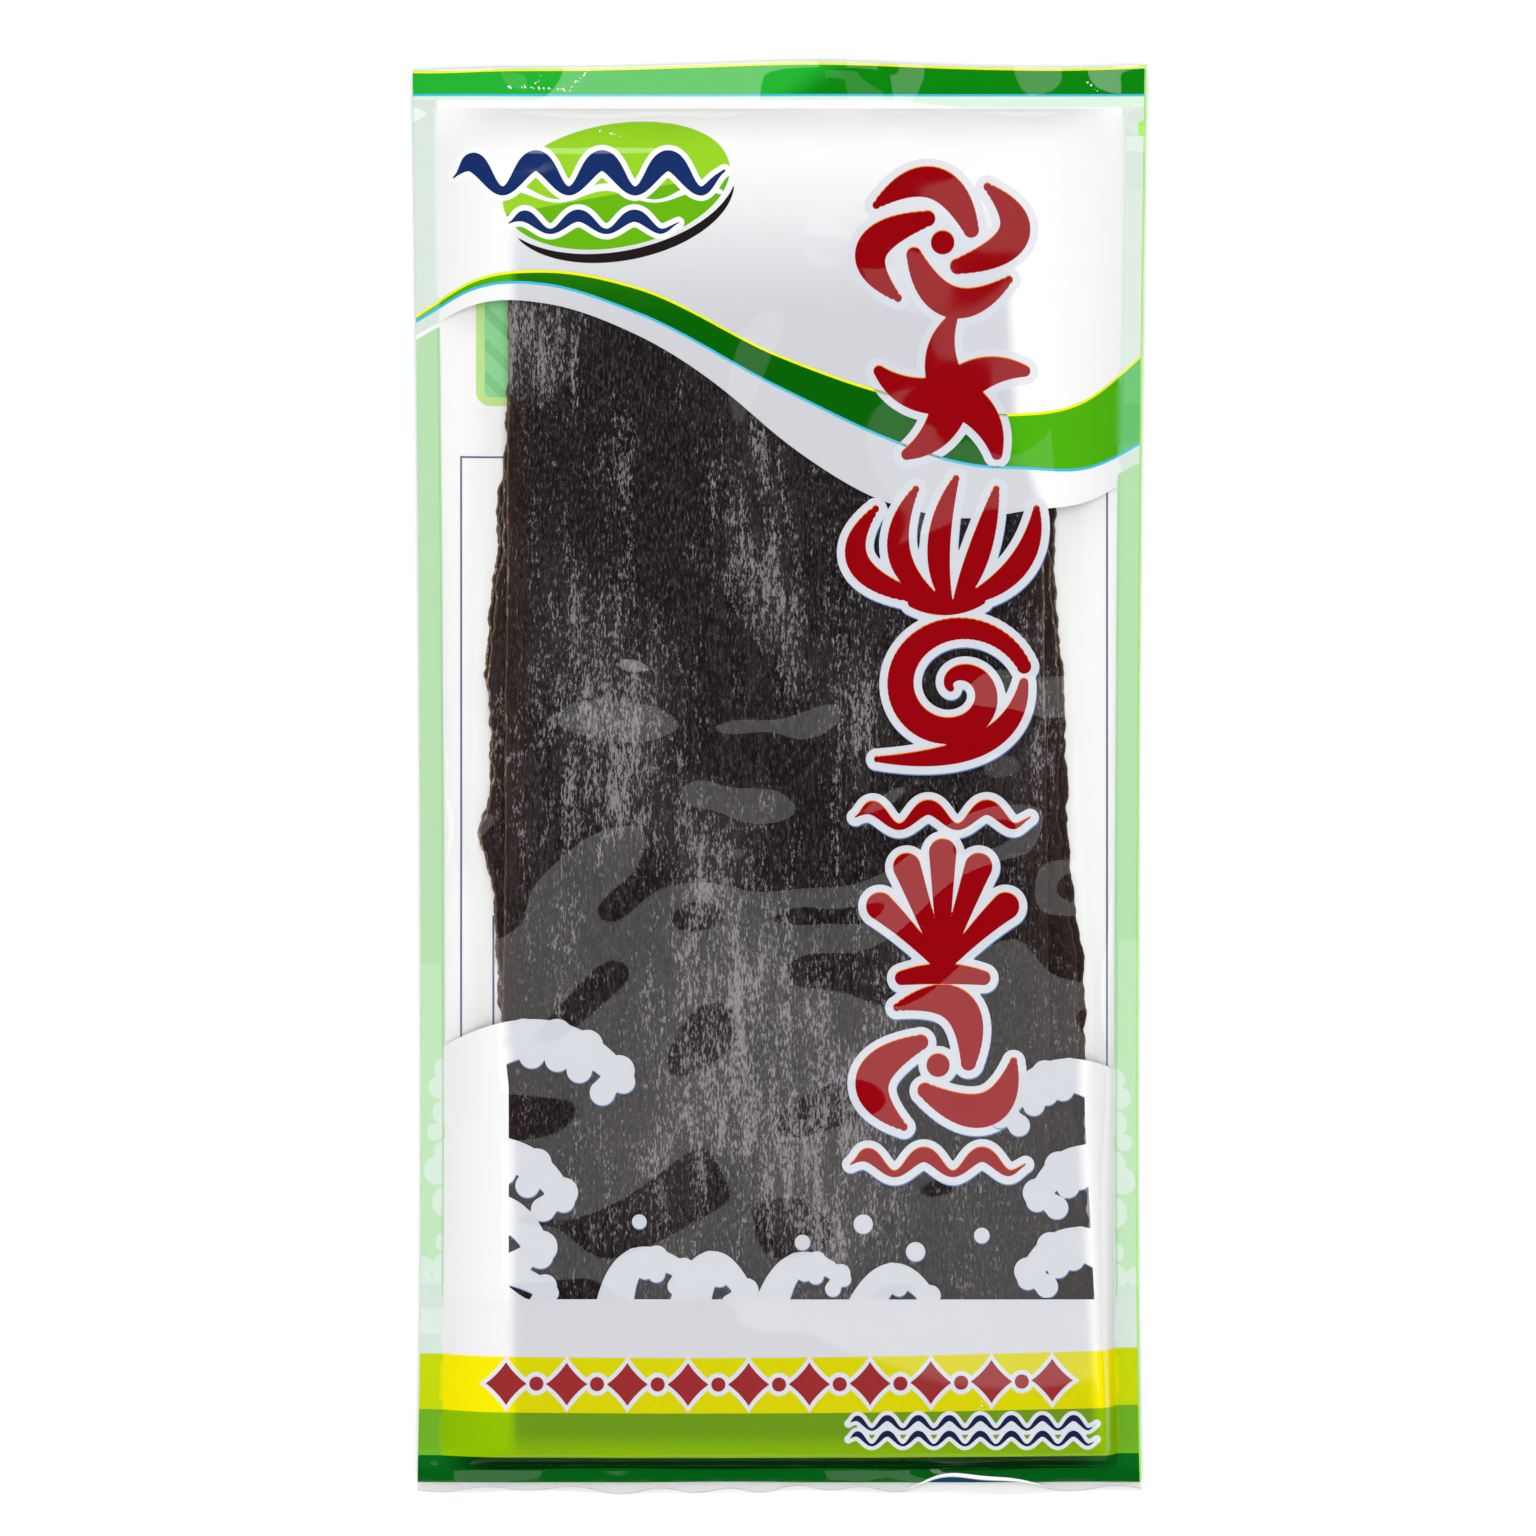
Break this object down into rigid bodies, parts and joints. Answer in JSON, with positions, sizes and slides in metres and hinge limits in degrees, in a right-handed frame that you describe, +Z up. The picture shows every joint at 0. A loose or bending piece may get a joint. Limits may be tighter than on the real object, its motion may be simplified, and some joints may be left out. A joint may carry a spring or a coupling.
{
  "type": "sealed pouch of dried kelp sheets",
  "caption": "Flat clear food pouch, sealed on all four sides, printed in green, white and yellow, with a stack of dried kelp sheets inside.",
  "frame": {"origin": "centre of the pouch's box on the surface it lies on", "axes": "+Y along the pouch's length towards its printed header, +Z up out of the printed front, +X to the right seen from above"},
  "size_m": [0.1604, 0.3132, 0.0091],
  "materials": {
    "film": null,
    "kelp": "dried kelp, dark brown-black, matt with a grey salt bloom",
    "white_print": "white ink under glossy film",
    "green_print": "green ink under glossy film",
    "red_print": "red ink under glossy film"
  },
  "bodies": {
    "root": {"sealed_pack": "film"}
  },
  "joints": []
}
